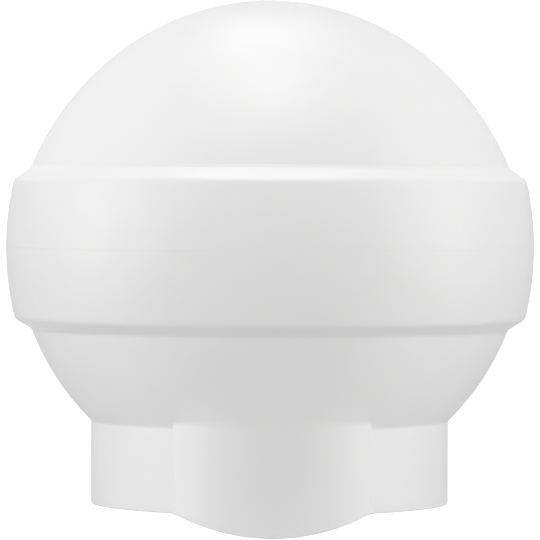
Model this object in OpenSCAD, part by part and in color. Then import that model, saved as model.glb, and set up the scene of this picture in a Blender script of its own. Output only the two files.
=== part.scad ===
// Ball cap for a studded T fence post: a hollow two-part ball with a raised belt, a round collar with
// a front lobe, and a T socket clamped inside. Z is up, the front lobe faces -Y, and the origin is
// where the post's end stops, on the axis of the ball.

/* [Ball] */
// Radius of the dome's sphere and of the bowl's sphere
ball_r = 33.8; // [33.6:0.05:34]
// Distance by which each sphere's centre lies beyond the middle plane
pole_drop = 1.1; // [0.9:0.1:1.5]
// Wall thickness of the ball and the collar
shell_t = 2.4; // [2:0.1:2.6]

/* [Belt] */
// Radius of the belt at the middle plane
belt_r = 35; // [34.8:0.1:36]
// Radius of the arc that the belt's face follows from top to bottom
belt_face_r = 39.5; // [38:0.5:60]
// Height of the belt's upper crease above the middle plane
belt_top = 10.5; // [9:0.1:11]
// Depth of the belt's lower crease below the middle plane
belt_foot = 10.9; // [9:0.1:11.5]
// Slope of the belt's edges below the horizontal, in degrees
belt_slope = 33; // [28:1:40]

/* [Seam] */
// Height of the lip that joins the two shells
lip_h = 3.4; // [2.5:0.1:4]
// Thickness of the lip
lip_t = 1.5; // [1.2:0.1:1.8]
// Gap between the lip and its rebate
lip_gap = 0.15; // [0.1:0.05:0.3]
// Height of the snap bead above the lip's side
bead_h = 0.3; // [0.2:0.05:0.4]

/* [Collar] */
// Outer radius of the collar
collar_r = 23.7; // [23.6:0.1:24]
// Depth of the collar's lower edge below the middle plane
collar_down = 34; // [32:0.1:35]
// Size of the chamfer round the mouth of the collar's bore
edge_chamfer = 0.5; // [0.3:0.1:0.8]

/* [Lobe] */
// Distance from the ball's axis to the lobe's face
lobe_out = 25.9; // [25.8:0.1:26.4]
// Radius of the lobe's face in plan
lobe_r = 18; // [16:0.1:19]
// Width of the lobe
lobe_w = 25.4; // [22:0.2:25.6]
// Depth of the lobe's lowest point below the middle plane
lobe_down = 36.8; // [36:0.1:37]
// Radius of the lobe's lower edge, seen from the front
lobe_edge_r = 29.7; // [26:0.1:34]

/* [Post] */
// Width of the post's flange
post_w = 35; // [34:0.5:35]
// Depth of the post, from the flange's studded face to the stem's edge
post_d = 35; // [34:0.5:35]
// Thickness of the flange and the stem
post_t = 3.2; // [3:0.1:3.4]
// Width of a stud on the flange
stud_w = 13; // [11:0.5:14]
// Height of a stud above the flange
stud_h = 6; // [5:0.5:6.5]
// Distance of the flange's studded face behind the ball's axis
post_back = 11.8; // [11.7:0.1:11.8]
// Play on each side of the flange and the stem
side_play = 0.8; // [0.5:0.05:0.9]
// Play at the edges of the flange, the stem and the studs, which the grip ribs take up
end_play = 0.5; // [0.4:0.05:0.6]

/* [Socket] */
// Height of the post's end above the middle plane
seat_up = 12; // [10:0.5:12]
// Depth of the socket's foot below the middle plane
foot_down = 15; // [13:0.5:15]
// Wall thickness of the T tube and its foot
socket_t = 2; // [1.6:0.1:2]
// Radius of the socket's foot
socket_r = 26.5; // [26.5:0.05:26.6]
// Width of the ribs that grip the post's edges
grip_w = 0.8; // [0.6:0.1:1]
// Distance between the two ribs of a pair
grip_gap = 1.4; // [1.2:0.1:1.6]

/* [Stop plate] */
// Thickness of the steel plate that the post's end meets
plate_t = 1.6; // [1.2:0.1:2]
// Radius of the plate, which the dome's wall keeps centred
plate_r = 27.2; // [26:0.1:27.3]

/* [Hidden] */
$fn = 180;

mid_z = -seat_up;
inner_r = ball_r - shell_t;
rim_r = sqrt(pow(inner_r, 2) - pow(pole_drop, 2));
dome_z = mid_z - pole_drop;
bowl_z = mid_z + pole_drop;
collar_z = mid_z - collar_down;
bore_r = collar_r - shell_t;
lobe_y = lobe_r - lobe_out;
lobe_z = mid_z - lobe_down;
foot_z = mid_z - foot_down;
lip_r = rim_r + lip_t;
far = 2 * belt_r;
cut = 1;
belt_root = 2;
bead_at = 0.6 * lip_h;
bead_r = 0.5;
seat_ring_t = 2;
seat_ring_h = 12;
seat_inset = 0.4;
seat_ring_r = socket_r - seat_inset;
press_ring_r = 15;
press_ring_t = 2;
key_w = 6;
key_reach = 1.6;
key_gap = 0.3;
rail_t = 2;
rail_l = 2.6;
rail_gap = 0.6;
rail_x = socket_r + rail_gap + rail_l / 2;
rail_y = key_w / 2 + key_gap + rail_t / 2;
web_t = 1.6;
web_y = -6;
web_reach = 16;
web_h = 18;

// Radius of a sphere of radius r at height h from its centre
function ring_at(r, h) = sqrt(pow(r, 2) - pow(h, 2));

// Half of the belt's cross section, from the middle plane up to its crease at height top
module belt_half(top) {
    crease_r = ring_at(ball_r, top + pole_drop);
    reach = belt_r + cut - crease_r;
    intersection() {
        translate([belt_r - belt_face_r, 0])
            circle(r = belt_face_r);
        polygon([
            [rim_r, 0],
            [belt_r + cut, 0],
            [belt_r + cut, top - reach * tan(belt_slope)],
            [crease_r, top],
            [rim_r - belt_root, top]
        ]);
    }
}

// Outside of one half of the ball, standing on the middle plane, with its share of the belt
module half_ball(top) {
    intersection() {
        translate([0, 0, -pole_drop])
            sphere(r = ball_r);
        cylinder(r = far, h = far);
    }
    rotate_extrude()
        belt_half(top);
}

// Ring between two radii, standing on z = 0
module ring(outer, inner, h) {
    difference() {
        cylinder(r = outer, h = h);
        translate([0, 0, -cut])
            cylinder(r = inner, h = h + 2 * cut);
    }
}

// Bead that runs round the lip, or the groove for it when grow is above 0
module snap_bead(grow) {
    translate([0, 0, mid_z + bead_at])
        rotate_extrude()
            translate([lip_r - bead_r + bead_h, 0])
                circle(r = bead_r + grow);
}

// Dome with the upper half of the belt, a rebate for the lip and a ring that presses on the plate
module upper_shell() color("white") {
    difference() {
        translate([0, 0, mid_z])
            half_ball(belt_top);
        translate([0, 0, dome_z])
            sphere(r = inner_r);
        translate([0, 0, mid_z - cut])
            cylinder(r = lip_r + lip_gap, h = cut + lip_h + lip_gap);
        snap_bead(lip_gap);
    }
    intersection() {
        translate([0, 0, plate_t])
            ring(press_ring_r, press_ring_r - press_ring_t, far);
        translate([0, 0, dome_z])
            sphere(r = inner_r + shell_t / 2);
    }
}

// Collar and lobe in plan, drawn in by inset
module collar_plan(inset) {
    circle(r = collar_r - inset);
    intersection() {
        translate([0, lobe_y])
            circle(r = lobe_r - inset);
        translate([-lobe_w / 2 + inset, -far])
            square([lobe_w - 2 * inset, far]);
    }
}

// Space under the lower edge: flat below the collar, hanging in an arc below the lobe
module below_edge() {
    difference() {
        translate([-far, -far, lobe_z - far])
            cube([2 * far, 2 * far, far + lobe_down - collar_down]);
        intersection() {
            translate([0, 0, lobe_z + lobe_edge_r])
                rotate([90, 0, 0])
                    cylinder(r = lobe_edge_r, h = far);
            translate([-lobe_w / 2, -far, lobe_z - cut])
                cube([lobe_w, far - collar_r / 2, far]);
        }
    }
}

// Bowl with the lower half of the belt, the lip, the collar with its lobe, and the socket's seat
module lower_shell() color("white") {
    difference() {
        union() {
            translate([0, 0, mid_z])
                mirror([0, 0, 1])
                    half_ball(belt_foot);
            translate([0, 0, lobe_z - cut])
                linear_extrude(height = foot_z - lobe_z + cut)
                    collar_plan(0);
        }
        translate([0, 0, bowl_z])
            sphere(r = inner_r);
        translate([0, 0, lobe_z - cut])
            linear_extrude(height = foot_z - lobe_z + 2 * cut)
                collar_plan(shell_t);
        below_edge();
        translate([0, 0, collar_z - cut])
            cylinder(r1 = bore_r + edge_chamfer + cut, r2 = bore_r, h = edge_chamfer + cut);
    }
    translate([0, 0, mid_z - lip_t])
        ring(lip_r, rim_r, lip_h + lip_t);
    snap_bead(0);
    seat();
}

// Ring in the bowl that carries the socket's foot, with two pairs of rails that stop it turning
module seat() {
    intersection() {
        difference() {
            union() {
                translate([0, 0, foot_z - seat_ring_h])
                    ring(seat_ring_r, seat_ring_r - seat_ring_t, seat_ring_h);
                for (side = [-1, 1], rail = [-1, 1])
                    translate([side * rail_x, rail * rail_y, foot_z])
                        cube([rail_l, rail_t, 2 * socket_t], center = true);
            }
            translate([0, 0, lobe_z])
                linear_extrude(height = far)
                    collar_plan(shell_t);
        }
        translate([0, 0, bowl_z])
            sphere(r = inner_r + shell_t / 2);
    }
}

// Outline of the T post with its studs, grown by a wall thickness
module t_outline(grow) {
    slot_w = post_w / 2 + end_play + grow;
    stem_w = post_t / 2 + side_play + grow;
    stud_x = stud_w / 2 + end_play + grow;
    stem_y = post_back - post_d - end_play - grow;
    slot_y = post_back - post_t - side_play - grow;
    stud_y = post_back + stud_h + end_play + grow;
    translate([-slot_w, slot_y])
        square([2 * slot_w, post_t + 2 * (side_play + grow)]);
    translate([-stem_w, stem_y])
        square([2 * stem_w, post_back - stem_y]);
    translate([-stud_x, slot_y])
        square([2 * stud_x, stud_y - slot_y]);
}

// Pair of grip ribs as high as the end play, standing on an end wall that faces +X
module grip_pair(tall) {
    for (side = [-1, 1])
        translate([end_play / 2, side * (grip_gap + grip_w) / 2, tall / 2])
            cube([end_play, grip_w, tall], center = true);
}

// Grip ribs on the end walls of the flange's slot and of the stem's slot
module grip_ribs(tall) {
    for (side = [-1, 1])
        translate([side * (post_w / 2 + end_play), post_back - post_t / 2, 0])
            rotate([0, 0, side > 0 ? 180 : 0])
                grip_pair(tall);
    translate([0, post_back - post_d - end_play, 0])
        rotate([0, 0, 90])
            grip_pair(tall);
}

// T tube on a round foot, with grip ribs inside it, webs beside it and keys on the foot's edge
module post_socket() color("gainsboro") {
    tall = -foot_z;
    translate([0, 0, foot_z]) {
        difference() {
            union() {
                linear_extrude(height = tall)
                    t_outline(socket_t);
                cylinder(r = socket_r, h = socket_t);
                webs();
                for (side = [-1, 1])
                    translate([side * socket_r, 0, socket_t / 2])
                        cube([2 * key_reach, key_w, socket_t], center = true);
            }
            translate([0, 0, -cut])
                linear_extrude(height = tall + 2 * cut)
                    t_outline(0);
        }
        grip_ribs(tall);
    }
}

// Webs on the foot that steady the sides of the tube's stem
module webs() {
    translate([0, web_y, web_h / 2])
        cube([2 * web_reach, web_t, web_h], center = true);
}

// Steel disc that closes the top of the socket and takes the post's end
module stop_plate() color("silver")
    cylinder(r = plate_r, h = plate_t);

upper_shell();
lower_shell();
post_socket();
stop_plate();
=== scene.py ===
import math
import bmesh
import bpy
import numpy as np
from mathutils import Matrix, Vector


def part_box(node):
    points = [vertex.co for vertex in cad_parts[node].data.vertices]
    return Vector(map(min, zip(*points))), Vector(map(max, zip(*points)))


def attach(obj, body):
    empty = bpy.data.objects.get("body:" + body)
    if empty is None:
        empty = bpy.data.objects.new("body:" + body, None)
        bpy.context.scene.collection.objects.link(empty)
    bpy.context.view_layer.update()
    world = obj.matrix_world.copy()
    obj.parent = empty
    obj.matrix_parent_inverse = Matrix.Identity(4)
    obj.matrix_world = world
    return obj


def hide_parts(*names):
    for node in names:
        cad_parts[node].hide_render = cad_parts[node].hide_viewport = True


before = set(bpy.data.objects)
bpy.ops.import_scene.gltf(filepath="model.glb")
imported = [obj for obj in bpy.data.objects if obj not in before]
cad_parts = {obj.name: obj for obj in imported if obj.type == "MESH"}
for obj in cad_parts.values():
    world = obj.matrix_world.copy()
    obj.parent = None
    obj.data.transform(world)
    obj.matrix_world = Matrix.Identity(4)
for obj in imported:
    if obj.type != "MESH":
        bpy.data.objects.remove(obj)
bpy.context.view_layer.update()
mm = 0.001
tiny = 1e-6
print("stage: frame loaded")

# the shells meet on the plane at midZ, and the ball's middle is there too
upperLow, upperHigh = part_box("upper_shell")
midZ = upperLow.z
topZ = upperHigh.z
beltRadius = upperHigh.x
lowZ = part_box("lower_shell")[0].z
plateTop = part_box("stop_plate")[1].z


# points of an arc: centre plus radius times cosine and sine, over evenly spaced angles in degrees
def arcPoints(centre, radius, start, end, count):
    turn = np.radians(np.linspace(start, end, count))
    return np.stack([centre[0] + radius * np.cos(turn), centre[1] + radius * np.sin(turn)], -1)


# the same values with one more close behind the first and one close before the last, which keep a
# smooth surface from blurring the edges beside it
def held(values, share=0.12):
    first = values[0] + (values[1] - values[0]) * share
    last = values[-1] - (values[-1] - values[-2]) * share
    return np.concatenate([values[:1], first[None], values[1:-1], last[None], values[-1:]])


# count values from 0 to 1 along a new first axis of the sample
def steps(count, sample):
    return np.linspace(0, 1, count).reshape([count] + [1] * np.ndim(sample))


# quadratic curve from a to c, pulled towards b: (1-t)^2 a + 2t(1-t) b + t^2 c
def bend(a, b, c, count):
    t = steps(count, a)
    return (1 - t) ** 2 * a + 2 * t * (1 - t) * b + t ** 2 * c


# count points on the way from a to b, without a itself: (1-t) a + t b
def between(a, b, count):
    t = steps(count + 1, a)[1:]
    return (1 - t) * a + t * b


# smooth minimum and maximum of two lengths, rounded over about ease: half of their sum, less or plus
# half the root of their difference squared plus ease squared
def softLess(a, b, ease):
    return 0.5 * (a + b - np.sqrt((a - b) ** 2 + ease ** 2))


def softMore(a, b, ease):
    return 0.5 * (a + b + np.sqrt((a - b) ** 2 + ease ** 2))


# height of a sphere's surface over its middle, at distance r from its axis: root of radius^2 - r^2
def sphereHeight(radius, r):
    return np.sqrt(radius ** 2 - r ** 2)


# profile carried round the axis: x = r cos t, y = r sin t, z = z
def lathe(profile, count):
    turn = np.linspace(0, 2 * np.pi, count, endpoint=False)
    r, z = profile[:, :1], profile[:, 1:]
    return np.stack([r * np.cos(turn), r * np.sin(turn), np.broadcast_to(z, (len(r), count))], -1)


# the mesh of a grid of points, rows by columns, closed round the columns; closeRows joins the last row
# to the first, and poles closes each end with a fan about the middle of its row
def gridMesh(name, points, closeRows=False, poles=False):
    rows, cols = points.shape[:2]
    cells = np.arange(rows * cols).reshape(rows, cols)
    if closeRows:
        cells = np.vstack([cells, cells[:1]])
    a = cells[:-1]
    b = cells[1:]
    quads = np.stack([a, b, np.roll(b, -1, 1), np.roll(a, -1, 1)], -1).reshape(-1, 4)
    verts = points.reshape(-1, 3)
    faces = quads.tolist()
    if poles:
        top, low = len(verts), len(verts) + 1
        verts = np.vstack([verts, points[0].mean(0), points[-1].mean(0)])
        first, last = cells[0], cells[-1]
        fans = np.stack([np.full(cols, top), first, np.roll(first, -1)], -1)
        fansLow = np.stack([np.full(cols, low), np.roll(last, -1), last], -1)
        faces += fans.tolist() + fansLow.tolist()
    mesh = bpy.data.meshes.new(name)
    mesh.from_pydata(verts.tolist(), [], faces)
    mesh.update()
    return mesh


# links the mesh as a piece, turns its faces outwards and shades it smooth
def addPiece(name, mesh):
    piece = bpy.data.objects.new(name, mesh)
    bpy.context.scene.collection.objects.link(piece)
    work = bmesh.new()
    work.from_mesh(mesh)
    bmesh.ops.recalc_face_normals(work, faces=work.faces[:])
    work.to_mesh(mesh)
    work.free()
    mesh.shade_smooth()
    return piece


# what both shells share
ball = {
    "poleDrop": 1.1 * mm,        # each sphere's centre lies this far past the middle plane
    "wall": 2.4 * mm,
    "faceRadius": 39.5 * mm,     # arc of the belt's face, top to bottom
    "cornerRadius": 0.5 * mm,    # round between a belt's edge and its face
    "creaseRadius": 0.3 * mm,    # hollow between an edge and the ball
    "seamRadius": 0.03 * mm,     # eased edges of the seam
    "lipHeight": 3.4 * mm,       # the lower shell's lip stands in the upper shell
    "lipWall": 1.5 * mm,
    "lipGap": 0.15 * mm,
    "cornerSearch": 4 * mm,      # the belt's corner is looked for this far along its edge
    "searchSteps": 4001,
    "seamSteps": 5,
    "faceSteps": 36,
    "cornerSteps": 10,
    "edgeSteps": 6,
    "creaseSteps": 7,
}
ballRadius = topZ - midZ + ball["poleDrop"]
innerRadius = ballRadius - ball["wall"]
domeZ = midZ - ball["poleDrop"]
bowlZ = midZ + ball["poleDrop"]
rimRadius = math.sqrt(innerRadius ** 2 - ball["poleDrop"] ** 2)
lipRadius = rimRadius + ball["lipWall"]


# half of the belt's outline with height counted away from the middle plane: seam edge, face arc, round
# corner, sloping edge and hollow crease, ending on an oval of half width wide and half height tall
# whose centre is off past the middle plane; also returns the oval's angle there
def beltOutline(top, edgeSlope, wide, tall, off):
    face = (beltRadius - ball["faceRadius"], 0.0)
    slope = math.tan(math.radians(edgeSlope))
    creaseTurn = math.asin((top + off) / tall)
    creaseR = wide * math.cos(creaseTurn)
    # the corner is where the sloping edge meets the face's arc
    reach = np.linspace(0, ball["cornerSearch"], ball["searchSteps"])
    onEdge = np.stack([creaseR + reach, top - slope * reach], -1)
    gap = np.hypot(onEdge[:, 0] - face[0], onEdge[:, 1]) - ball["faceRadius"]
    corner = onEdge[np.argmin(np.abs(gap))]
    cornerTurn = math.degrees(math.atan2(corner[1], corner[0] - face[0]))
    ease = ball["cornerRadius"]
    easeTurn = math.degrees(ease / ball["faceRadius"])
    along = np.array([math.cos(math.radians(edgeSlope)), -math.sin(math.radians(edgeSlope))])
    seam = ball["seamRadius"]
    seamTurn = math.degrees(seam / ball["faceRadius"])
    seamStart = np.array([beltRadius - seam, 0.0])
    onFace = held(arcPoints(face, ball["faceRadius"], seamTurn, cornerTurn - easeTurn, ball["faceSteps"]))
    seamBend = bend(seamStart, np.array([beltRadius, 0.0]), onFace[0], ball["seamSteps"])
    cornerBend = bend(onFace[-1], corner, corner - along * ease, ball["cornerSteps"])
    crease = np.array([creaseR, top])
    hollow = ball["creaseRadius"]
    ballTurn = creaseTurn + hollow / wide
    onBall = np.array([wide * math.cos(ballTurn), tall * math.sin(ballTurn) - off])
    slopeLine = held(np.linspace(cornerBend[-1], crease + along * hollow, ball["edgeSteps"]))
    creaseBend = bend(slopeLine[-1], crease, onBall, ball["creaseSteps"])
    outline = np.vstack([seamBend, onFace[1:], cornerBend[1:], slopeLine[1:], creaseBend[1:]])
    return outline, math.degrees(ballTurn)


# dome with the upper half of the belt
dome = {
    "wide": 34.7 * mm,           # half width of the dome's oval
    "tall": 37.2 * mm,           # half height of the dome's oval
    "beltTop": 10.5 * mm,        # crease above the middle plane
    "edgeSlope": 34.5,           # fall of the belt's upper edge, degrees
    "poleTurn": 89.6,            # the arcs stop here and a fan closes the pole
    "edgeHold": 0.08,
    "ringRadius": 15.0 * mm,     # ring that bears on the plate
    "ringWall": 2.0 * mm,
    "edgeEase": 0.25 * mm,       # eased inner edges
    "domeSteps": 88,
    "wallSteps": 40,
    "roofSteps": 20,
    "turnSteps": 256,
}


# out along the seam face, up the belt, over the dome to its pole, then back down the inner wall round
# the press ring and the rebate; the oval is r = wide cos t, z = tall sin t
def upperShellMesh():
    wide, tall, pole, ease = dome["wide"], dome["tall"], dome["poleTurn"], dome["edgeEase"]
    off = tall - (topZ - midZ)
    belt, turn = beltOutline(dome["beltTop"], dome["edgeSlope"], wide, tall, off)
    belt = belt + [0, midZ]
    oval = held(arcPoints((0, 0), 1.0, turn, pole, dome["domeSteps"]), dome["edgeHold"])
    oval = oval * [wide, tall] + [0, midZ - off]
    ringOut = dome["ringRadius"]
    ringIn = ringOut - dome["ringWall"]
    roofTurn = math.degrees(math.acos(ringIn / innerRadius))
    roof = arcPoints((0, domeZ), innerRadius, pole, roofTurn, dome["roofSteps"])
    ring = np.array([
        [ringIn, plateTop + ease], [ringIn + ease, plateTop],
        [ringOut - ease, plateTop], [ringOut, plateTop + ease]])
    rebateZ = midZ + ball["lipHeight"] + ball["lipGap"]
    rebateR = lipRadius + ball["lipGap"]
    wallStart = math.degrees(math.acos(ringOut / innerRadius))
    wallEnd = math.degrees(math.asin((rebateZ - domeZ) / innerRadius))
    wall = arcPoints((0, domeZ), innerRadius, wallStart, wallEnd, dome["wallSteps"])
    step = np.array([[rebateR, rebateZ], [rebateR, midZ + ease], [rebateR + ease, midZ]])
    profile = np.vstack([oval[::-1], belt[::-1], step[::-1], wall[::-1], ring[::-1], roof[::-1]])
    return gridMesh("upperShell", lathe(profile, dome["turnSteps"]), poles=True)


# bowl with the lower half of the belt, the collar and the lobe on its front
bowl = {
    "beltFoot": 10.9 * mm,       # crease below the middle plane
    "edgeSlope": 31.8,           # rise of the belt's lower edge, degrees
    "collarRadius": 23.7 * mm,
    "collarDown": 34.0 * mm,     # collar's lower edge below the middle plane
    "lobeOut": 25.9 * mm,        # lobe's face in front of the ball's axis
    "lobeRadius": 18.0 * mm,     # lobe's face in plan
    "lobeWidth": 25.4 * mm,
    "lobeArc": 29.7 * mm,        # lobe's lower edge, seen from the front
    "lobeProud": 0.7 * mm,       # how far the lobe's side edges stand out of the collar
    "sideEase": 0.10 * mm,       # softness of the lobe's upright side lines
    "topEase": 0.05 * mm,        # softness of the wall's top line where they meet it
    "footEase": 0.12 * mm,       # softness where the lobe's lower edge meets the collar's
    "middleHollow": 2.6 * mm,    # hollow where the lobe's face runs into the bowl, at the middle
    "sideHollow": 0.35 * mm,     # the same at the sides and round the collar
    "leastTouch": 0.1,           # these two keep the hollow wide where the ramp is flat, radians
    "addedTurn": 0.25,
    "outerEdge": 0.3 * mm,
    "innerEdge": 0.5 * mm,
    "edgeHold": 0.1,
    "seatRadius": 26.1 * mm,     # ring that carries the socket's foot
    "seatWall": 2.0 * mm,
    "seatDown": 15.0 * mm,       # below the middle plane
    "seatEase": 0.2 * mm,        # eased edges of the seat and the lip
    "beadRadius": 0.5 * mm,
    "beadIn": 0.2 * mm,          # the bead's centre lies this far inside the lip's face
    "beadUp": 0.6,               # and this share of the lip's height up
    "beadTurn": 60,
    "seamIn": 1.2 * mm,          # the seam's level face ends this far inside the belt's face
    "bowlSteps": 39,
    "rampSteps": 6,
    "hollowSteps": 13,
    "wallSteps": 10,
    "edgeSteps": 9,
    "landSteps": 3,
    "boreSteps": 8,
    "innerSteps": 20,
    "beadSteps": 9,
    "turnSteps": 400,
}
# the shell's columns stand closer at the lobe's side lines, and a little closer over the whole lobe
crowd = {
    "front": 1.2,
    "frontSpread": 0.62,
    "side": 22,
    "sideSpread": 0.012,
    "sideOut": 0.4 * mm,         # the side lines stand this far out of the collar
    "fineSteps": 20001,
}


# plan radius of the collar with its lobe, by angle from the front: the larger of the collar's circle
# and the lobe, which is the smaller of its own circle and its flat sides
def planRadius(turn, inset):
    back = bowl["lobeOut"] - bowl["lobeRadius"]
    sine = np.sin(np.abs(turn))
    circle = back * np.cos(turn) + sphereHeight(bowl["lobeRadius"] - inset, back * sine)
    side = (bowl["lobeWidth"] / 2 - inset) / np.maximum(sine, tiny)
    side = np.where(np.abs(turn) < np.pi / 2, side, 0)
    lobe = softLess(circle, side, bowl["sideEase"])
    return softMore(lobe, np.full_like(turn, bowl["collarRadius"] - inset), bowl["sideEase"])


# angles round the shell, 0 at the front, at even steps of the running sum of a density:
# 1 + front e^-(t / frontSpread)^4 + side e^-((|t| - sideTurn) / sideSpread)^2
def shellTurns():
    fine = np.linspace(-np.pi, np.pi, crowd["fineSteps"])
    sideTurn = math.asin(bowl["lobeWidth"] / 2 / (bowl["collarRadius"] + crowd["sideOut"]))
    near = np.exp(-((np.abs(fine) - sideTurn) / crowd["sideSpread"]) ** 2)
    front = np.exp(-(fine / crowd["frontSpread"]) ** 4)
    density = 1 + crowd["front"] * front + crowd["side"] * near
    total = np.concatenate([[0], np.cumsum(0.5 * (density[1:] + density[:-1]))])
    even = np.linspace(0, total[-1], bowl["turnSteps"], endpoint=False)
    return np.interp(even, total, fine)


# height of the lower edge at radius r and angle turn: level under the collar, an arc under the lobe
def edgeHeight(r, turn):
    x = r * np.sin(turn)
    level = np.full_like(x, midZ - bowl["collarDown"])
    arc = lowZ + bowl["lobeArc"] - sphereHeight(bowl["lobeArc"], x)
    arc = np.where(np.abs(turn) < np.pi / 2, arc, level)
    return softLess(level, arc, bowl["footEase"])


# outside of the lower shell, a profile for each angle: down the belt and the bowl, along a straight
# ramp that touches the bowl and ends at the top of the wall, down the wall and round its lower edge
def lowerOutside(turn):
    cols = len(turn)
    off = ball["poleDrop"]
    belt, ballTurn = beltOutline(bowl["beltFoot"], bowl["edgeSlope"], ballRadius, ballRadius, off)
    belt = belt * [1, -1] + [0, midZ]
    outR = planRadius(turn, 0.0)
    # the wall's top stays level round the lobe and follows the ball round the collar
    sideR = bowl["collarRadius"] + bowl["lobeProud"]
    topR = softLess(outR, np.full(cols, sideR), bowl["topEase"])
    wallTop = bowlZ - sphereHeight(ballRadius, topR)
    # a line from the wall's top touches the ball at the angle touch below level
    fall = bowlZ - wallTop
    span = np.hypot(outR, fall)
    ramp = np.sqrt(np.maximum(span ** 2 - ballRadius ** 2, 0))
    touch = np.arctan2(fall, outR) - np.arccos(np.minimum(ballRadius / span, 1))
    # the hollow reaches this far each side of the wall's top: hollow tan(touch / 2 + addedTurn)
    middle = np.clip((outR - sideR) / (bowl["lobeOut"] - sideR), 0, 1)
    hollow = bowl["sideHollow"] + (bowl["middleHollow"] - bowl["sideHollow"]) * middle ** 2
    lead = hollow * np.tan(np.maximum(touch, bowl["leastTouch"]) / 2 + bowl["addedTurn"])
    bowlEnd = np.where(ramp >= lead, touch, touch - (lead - ramp) / ballRadius)
    t = held(np.linspace(0, 1, bowl["bowlSteps"]), bowl["edgeHold"])[1:, None]
    angle = np.radians(ballTurn) + t * (bowlEnd - np.radians(ballTurn))
    onBowl = np.stack([ballRadius * np.cos(angle), bowlZ - ballRadius * np.sin(angle)], -1)
    corner = np.stack([outR, wallTop], -1)
    toward = corner - onBowl[-1]
    length = np.maximum(np.hypot(toward[:, 0], toward[:, 1]), tiny * mm)
    keep = np.clip((length - lead) / length, 0, 1)[:, None]
    rampEnd = onBowl[-1] + toward * keep
    wallStart = corner - np.stack([np.zeros(cols), lead], -1)
    ease = bowl["outerEdge"]
    footZ = edgeHeight(outR, turn)
    wallEnd = np.stack([outR, footZ + ease], -1)
    foot = np.stack([outR, footZ], -1)
    footEnd = np.stack([outR - ease, edgeHeight(outR - ease, turn)], -1)
    return [
        np.broadcast_to(belt[:, None, :], (len(belt), cols, 2)),
        onBowl,
        between(onBowl[-1], rampEnd, bowl["rampSteps"]),
        bend(rampEnd, corner, wallStart, bowl["hollowSteps"])[1:],
        between(wallStart, wallEnd, bowl["wallSteps"]),
        bend(wallEnd, foot, footEnd, bowl["edgeSteps"])[1:],
    ]


# inside of the lower shell, from where its outside ends: across the lower edge, up the bore to the
# bowl's inner wall, round the seat, up the bowl and the lip with its bead, and out to the seam
def lowerInside(turn, start):
    cols = len(turn)
    cut = bowl["innerEdge"]
    inR = planRadius(turn, ball["wall"])
    inZ = edgeHeight(inR, turn)
    landEnd = np.stack([inR + cut, inZ], -1)
    boreStart = np.stack([inR, inZ + cut], -1)
    boreEnd = np.stack([inR, bowlZ - sphereHeight(innerRadius, inR)], -1)
    seatOut = bowl["seatRadius"]
    seatIn = seatOut - bowl["seatWall"]
    seatTop = midZ - bowl["seatDown"]
    seatFoot = np.broadcast_to([seatIn, bowlZ - sphereHeight(innerRadius, seatIn)], (cols, 2))
    ease = bowl["seatEase"]
    seat = np.array([
        [seatIn, seatTop - ease], [seatIn + ease, seatTop], [seatOut - ease, seatTop],
        [seatOut, seatTop - ease], [seatOut, bowlZ - sphereHeight(innerRadius, seatOut)]])
    rimTurn = math.degrees(math.asin((bowlZ - midZ) / innerRadius))
    seatTurn = math.degrees(math.acos(seatOut / innerRadius))
    inner = arcPoints((0, bowlZ), innerRadius, -seatTurn, -rimTurn, bowl["innerSteps"])[1:]
    lipTop = midZ + ball["lipHeight"]
    lip = np.array([
        [rimRadius, lipTop - ease], [rimRadius + ease, lipTop], [lipRadius - ease, lipTop],
        [lipRadius, lipTop - ease]])
    beadCentre = (lipRadius - bowl["beadIn"], midZ + ball["lipHeight"] * bowl["beadUp"])
    beadTurn = bowl["beadTurn"]
    bead = arcPoints(beadCentre, bowl["beadRadius"], beadTurn, -beadTurn, bowl["beadSteps"])
    base = np.array([[lipRadius, midZ], [beltRadius - bowl["seamIn"], midZ]])
    rest = np.vstack([seat, inner, lip, bead, base])
    return [
        between(start, landEnd, bowl["landSteps"]),
        between(landEnd, boreStart, bowl["landSteps"]),
        between(boreStart, boreEnd, bowl["boreSteps"]),
        between(boreEnd, seatFoot, bowl["landSteps"]),
        np.broadcast_to(rest[:, None, :], (len(rest), cols, 2)),
    ]


# outside and inside as one closed skin: x = r sin t, y = -r cos t, z = z
def lowerShellMesh():
    turn = shellTurns()
    outside = lowerOutside(turn)
    grid = np.concatenate(outside + lowerInside(turn, outside[-1][-1]), 0)
    r, z = grid[..., 0], grid[..., 1]
    points = np.stack([r * np.sin(turn), -r * np.cos(turn), z], -1)
    return gridMesh("lowerShell", points, closeRows=True)


def addNode(tree, kind, **values):
    node = tree.nodes.new(kind)
    for key, value in values.items():
        setattr(node, key, value)
    return node


# noise in object space: its size per metre, its detail, and stretch along the three axes
def noiseOn(tree, place, scale, detail, stretch=(1.0, 1.0, 1.0)):
    turned = addNode(tree, "ShaderNodeMapping")
    turned.inputs["Scale"].default_value = stretch
    noise = addNode(tree, "ShaderNodeTexNoise")
    noise.inputs["Scale"].default_value = scale
    noise.inputs["Detail"].default_value = detail
    tree.links.new(place.outputs["Object"], turned.inputs["Vector"])
    tree.links.new(turned.outputs["Vector"], noise.inputs["Vector"])
    return noise.outputs["Fac"]


# carries a value from its source range to the range low to high
def rangeOn(tree, value, low, high, source=(0.0, 1.0), **values):
    step = addNode(tree, "ShaderNodeMapRange", **values)
    step.inputs["From Min"].default_value = source[0]
    step.inputs["From Max"].default_value = source[1]
    step.inputs["To Min"].default_value = low
    step.inputs["To Max"].default_value = high
    tree.links.new(value, step.inputs["Value"])
    return step.outputs["Result"]


def blendOn(tree, factor, first, second):
    mix = addNode(tree, "ShaderNodeMix", data_type="RGBA")
    mix.inputs["A"].default_value = first
    mix.inputs["B"].default_value = second
    tree.links.new(factor, mix.inputs["Factor"])
    return mix.outputs["Result"]


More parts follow.
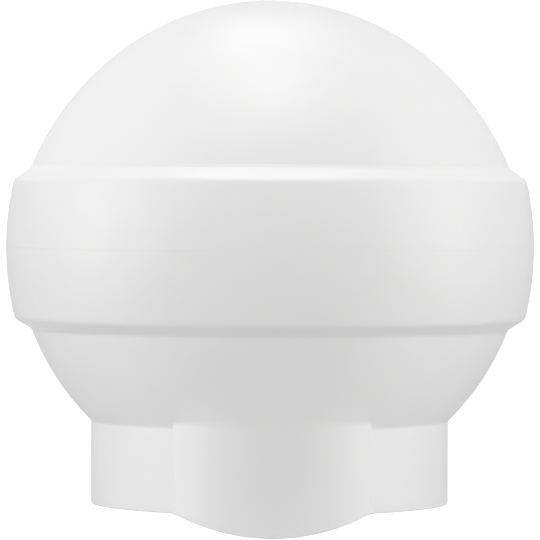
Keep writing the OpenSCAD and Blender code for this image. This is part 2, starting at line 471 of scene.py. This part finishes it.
def bumpOn(tree, height, strength, distance, below=None):
    bump = addNode(tree, "ShaderNodeBump")
    bump.inputs["Strength"].default_value = strength
    bump.inputs["Distance"].default_value = distance
    tree.links.new(height, bump.inputs["Height"])
    if below:
        tree.links.new(below, bump.inputs["Normal"])
    return bump.outputs["Normal"]


def shade(colour, factor):
    return tuple(c * factor for c in colour[:3]) + (1.0,)


# noise scales are per metre, and the gloss ends are added to a look's own roughness
moulding = {
    "flowScale": 45.0,
    "flowDetail": 3.0,
    "flowStretch": (1.0, 1.0, 0.45),
    "flowRange": (0.35, 0.75),
    "cloudScale": 160.0,
    "cloudDetail": 4.0,
    "cloudRange": (0.3, 0.7),
    "glossLow": -0.05,
    "glossHigh": 0.07,
    "swellScale": 420.0,
    "swellDetail": 1.0,
    "swellStrength": 0.12,
    "swellDepth": 0.02 * mm,
    "grainScale": 9000.0,
    "grainDetail": 2.0,
    "grainStrength": 0.35,
}
shellLook = {
    "colour": (0.83, 0.83, 0.827, 1.0),
    "roughness": 0.42,
    "specular": 0.45,
    "mottle": 0.025,             # share by which the flow marks darken the colour
    "grainDepth": 0.012 * mm,
}
socketLook = {
    "colour": (0.50, 0.50, 0.49, 1.0),
    "roughness": 0.55,
    "specular": 0.4,
    "mottle": 0.10,
    "grainDepth": 0.03 * mm,
}


# satin moulded plastic: broad flow marks in colour, cloudy gloss, a faint orange-peel swell and a fine
# spark-eroded grain in the bump
def mouldedPlastic(name, look):
    material = bpy.data.materials.new(name)
    material.use_nodes = True
    tree = material.node_tree
    shader = tree.nodes["Principled BSDF"]
    shader.inputs["Specular IOR Level"].default_value = look["specular"]
    place = addNode(tree, "ShaderNodeTexCoord")
    marks = noiseOn(tree, place, moulding["flowScale"], moulding["flowDetail"], moulding["flowStretch"])
    flow = rangeOn(tree, marks, 0.0, 1.0, moulding["flowRange"])
    colour = blendOn(tree, flow, look["colour"], shade(look["colour"], 1 - look["mottle"]))
    cloud = noiseOn(tree, place, moulding["cloudScale"], moulding["cloudDetail"])
    glossLow = look["roughness"] + moulding["glossLow"]
    glossHigh = look["roughness"] + moulding["glossHigh"]
    gloss = rangeOn(tree, cloud, glossLow, glossHigh, moulding["cloudRange"])
    peel = noiseOn(tree, place, moulding["swellScale"], moulding["swellDetail"])
    swell = bumpOn(tree, peel, moulding["swellStrength"], moulding["swellDepth"])
    sparks = noiseOn(tree, place, moulding["grainScale"], moulding["grainDetail"])
    grain = bumpOn(tree, sparks, moulding["grainStrength"], look["grainDepth"], swell)
    tree.links.new(colour, shader.inputs["Base Color"])
    tree.links.new(gloss, shader.inputs["Roughness"])
    tree.links.new(grain, shader.inputs["Normal"])
    return material


plateLook = {
    "colour": (0.62, 0.63, 0.64, 1.0),
    "dull": (0.44, 0.45, 0.47, 1.0),
    "roughness": 0.34,
    "glossLow": -0.08,
    "glossHigh": 0.12,
    "spangle": 220.0,            # zinc crystals per metre
    "strokeScale": 300.0,
    "strokeDetail": 3.0,
    "strokeStretch": (1.0, 30.0, 1.0),
    "strokeStrength": 0.4,
    "strokeDepth": 0.008 * mm,
}


# zinc-plated sheet: crystals in the colour and gloss, with fine rolling strokes along one direction
def platedSteel(name, look):
    material = bpy.data.materials.new(name)
    material.use_nodes = True
    tree = material.node_tree
    shader = tree.nodes["Principled BSDF"]
    shader.inputs["Metallic"].default_value = 1.0
    place = addNode(tree, "ShaderNodeTexCoord")
    crystals = addNode(tree, "ShaderNodeTexVoronoi")
    crystals.inputs["Scale"].default_value = look["spangle"]
    tree.links.new(place.outputs["Object"], crystals.inputs["Vector"])
    split = addNode(tree, "ShaderNodeSeparateColor")
    tree.links.new(crystals.outputs["Color"], split.inputs["Color"])
    colour = blendOn(tree, split.outputs["Red"], look["colour"], look["dull"])
    glossLow = look["roughness"] + look["glossLow"]
    glossHigh = look["roughness"] + look["glossHigh"]
    gloss = rangeOn(tree, split.outputs["Green"], glossLow, glossHigh)
    strokes = noiseOn(tree, place, look["strokeScale"], look["strokeDetail"], look["strokeStretch"])
    rolled = bumpOn(tree, strokes, look["strokeStrength"], look["strokeDepth"])
    tree.links.new(colour, shader.inputs["Base Color"])
    tree.links.new(gloss, shader.inputs["Roughness"])
    tree.links.new(rolled, shader.inputs["Normal"])
    return material


shellWhite = mouldedPlastic("shellWhite", shellLook)
shells = (("upperShell", upperShellMesh, "upper_shell"), ("lowerShell", lowerShellMesh, "lower_shell"))
for name, build, node in shells:
    piece = addPiece(name, build())
    piece.data.materials.append(shellWhite)
    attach(piece, "root")
    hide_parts(node)
    print("stage:", name, len(piece.data.polygons), "faces")

# the socket and the plate keep their own meshes and get a finish
innerFinish = {
    "post_socket": mouldedPlastic("socketGrey", socketLook),
    "stop_plate": platedSteel("plateSteel", plateLook),
}
for node, material in innerFinish.items():
    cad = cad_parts[node]
    cad.data.materials.clear()
    cad.data.materials.append(material)
    print("stage:", node, "finished")

# camera, looking along +Y from just above the belt's middle, a little to the left of the lobe
view = {
    "distance": 600 * mm,
    "eyeUp": 8.8 * mm,           # above the middle plane
    "aimDown": 3.06 * mm,        # below it
    "turn": 0.95,                # to the left, degrees
    "roll": 0.18,                # degrees
    "lens": 301.4,
    "sensor": 36,
    "clipStart": 0.01,
}
cameraData = bpy.data.cameras.new("camera")
camera = bpy.data.objects.new("camera", cameraData)
bpy.context.scene.collection.objects.link(camera)
cameraData.lens = view["lens"]
cameraData.sensor_width = view["sensor"]
cameraData.clip_start = view["clipStart"]
turnBy = math.radians(view["turn"])
away = view["distance"]
eye = np.array([-math.sin(turnBy) * away, -math.cos(turnBy) * away, midZ + view["eyeUp"]])
aim = np.array([0, 0, midZ - view["aimDown"]])
camera.location = Vector(eye)
facing = Vector(aim - eye).to_track_quat("-Z", "Y").to_matrix()
camera.rotation_euler = (facing @ Matrix.Rotation(math.radians(view["roll"]), 3, "Z")).to_euler()
bpy.context.scene.camera = camera
print("stage: camera")

# studio: a round pale room whose floor curves up into its wall, open above, with a pool of white light
# on the wall behind the cap, and softboxes placed by bearing (0 in front, 90 right) and height
studio = {
    "floorDown": 900 * mm,       # below the lobe
    "floorHole": 0.001,          # the floor starts this far from the axis
    "floorRadius": 3.0,
    "curve": 1.2,
    "wallTop": 2.6,
    "floorSteps": 30,
    "curveSteps": 24,
    "turnSteps": 96,
    "pale": (0.58, 0.58, 0.58, 1.0),
    "roughness": 0.9,
    "wallLight": 0.3,
    "wallLightFull": 0.2,        # height at which the wall's own light is full
    "pool": 1.05,
    "poolStart": 1.2,
    "poolEnd": 2.0,
    "poolSpread": 0.1,           # half width of the pool per metre from its origin
    "poolOrigin": -0.6,
    "poolTop": 0.5,
    "poolFade": 0.4,
    "ambient": 0.29,
    "boxSize": 0.6,
    "boxDistance": 1.2,
}
softboxes = (
    {"name": "overhead", "bearing": 0, "height": 80, "watts": 5.3},
    {"name": "overheadBack", "bearing": 180, "height": 65, "watts": 2.5},
    {"name": "front", "bearing": 0, "height": 8, "watts": 0.35},
    {"name": "rightFront", "bearing": 60, "height": 8, "watts": 1.35},
    {"name": "leftFront", "bearing": -60, "height": 8, "watts": 2.0},
    {"name": "rightSide", "bearing": 80, "height": 6, "watts": 3.65},
    {"name": "leftSide", "bearing": -80, "height": 6, "watts": 4.0},
    {"name": "rightHigh", "bearing": 75, "height": 35, "watts": 1.35},
    {"name": "leftHigh", "bearing": -75, "height": 35, "watts": 1.15},
    {"name": "rightRear", "bearing": 120, "height": 45, "watts": 0.35},
    {"name": "leftRear", "bearing": -120, "height": 45, "watts": 0.15},
    {"name": "lowFront", "bearing": 0, "height": -35, "watts": 2.0},
    {"name": "lowRight", "bearing": 80, "height": -35, "watts": 1.0},
    {"name": "lowLeft", "bearing": -80, "height": -35, "watts": 0.45},
    {"name": "lowBack", "bearing": 180, "height": -35, "watts": 1.8},
)
floorZ = lowZ - studio["floorDown"]


# level floor, quarter turn and upright wall, carried round the axis
def sweepMesh():
    radius, curve = studio["floorRadius"], studio["curve"]
    out = np.linspace(studio["floorHole"], radius, studio["floorSteps"])
    level = np.stack([out, np.full(len(out), floorZ)], -1)
    rise = arcPoints((radius, floorZ + curve), curve, -90, 0, studio["curveSteps"])[1:]
    wall = np.array([[radius + curve, studio["wallTop"]]])
    mesh = gridMesh("sweep", lathe(np.vstack([level, rise, wall]), studio["turnSteps"]))
    mesh.shade_smooth()
    return mesh


def mathOn(tree, operation, first, second):
    node = addNode(tree, "ShaderNodeMath", operation=operation)
    for socket, value in zip(node.inputs, (first, second)):
        if isinstance(value, float):
            socket.default_value = value
        else:
            tree.links.new(value, socket)
    return node.outputs[0]


# pale paper: the wall's own light rises off the floor, and the pool lies behind the cap only, in a
# wedge whose half width grows with the distance from its origin
def sweepPaper(name):
    material = bpy.data.materials.new(name)
    material.use_nodes = True
    tree = material.node_tree
    shader = tree.nodes["Principled BSDF"]
    shader.inputs["Base Color"].default_value = studio["pale"]
    shader.inputs["Roughness"].default_value = studio["roughness"]
    shader.inputs["Emission Color"].default_value = (1, 1, 1, 1)
    place = addNode(tree, "ShaderNodeTexCoord")
    split = addNode(tree, "ShaderNodeSeparateXYZ")
    tree.links.new(place.outputs["Object"], split.inputs["Vector"])
    x, y, z = (split.outputs[axis] for axis in "XYZ")

    def fade(value, low, high, source):
        return rangeOn(tree, value, low, high, source, interpolation_type="SMOOTHSTEP")

    up = fade(z, 0.0, studio["wallLight"], (floorZ, studio["wallLightFull"]))
    far = fade(y, 0.0, 1.0, (studio["poolStart"], studio["poolEnd"]))
    under = fade(z, 1.0, 0.0, (studio["poolTop"], studio["poolTop"] + studio["poolFade"]))
    reach = mathOn(tree, "SUBTRACT", y, studio["poolOrigin"])
    share = mathOn(tree, "DIVIDE", mathOn(tree, "ABSOLUTE", x, 0.0), reach)
    within = fade(share, 1.0, 0.0, (studio["poolSpread"], studio["poolSpread"] * 2))
    pool = mathOn(tree, "MULTIPLY", far, mathOn(tree, "MULTIPLY", under, within))
    glow = mathOn(tree, "MAXIMUM", mathOn(tree, "MULTIPLY", pool, studio["pool"]), up)
    tree.links.new(glow, shader.inputs["Emission Strength"])
    return material


sweep = bpy.data.objects.new("sweep", sweepMesh())
bpy.context.scene.collection.objects.link(sweep)
sweep.data.materials.append(sweepPaper("sweepPaper"))

for box in softboxes:
    lamp = bpy.data.lights.new(box["name"], "AREA")
    lamp.size = studio["boxSize"]
    lamp.energy = box["watts"]
    holder = bpy.data.objects.new(box["name"], lamp)
    bearing, height = math.radians(box["bearing"]), math.radians(box["height"])
    ground = math.cos(height)
    direction = Vector((math.sin(bearing) * ground, -math.cos(bearing) * ground, math.sin(height)))
    holder.location = direction * studio["boxDistance"] + Vector((0, 0, midZ))
    holder.rotation_euler = direction.to_track_quat("Z", "Y").to_euler()
    bpy.context.scene.collection.objects.link(holder)

world = bpy.data.worlds.new("studio")
bpy.context.scene.world = world
world.use_nodes = True
world.node_tree.nodes["Background"].inputs["Color"].default_value = (1, 1, 1, 1)
world.node_tree.nodes["Background"].inputs["Strength"].default_value = studio["ambient"]
bpy.context.scene.view_settings.view_transform = "Standard"
print("stage: studio")
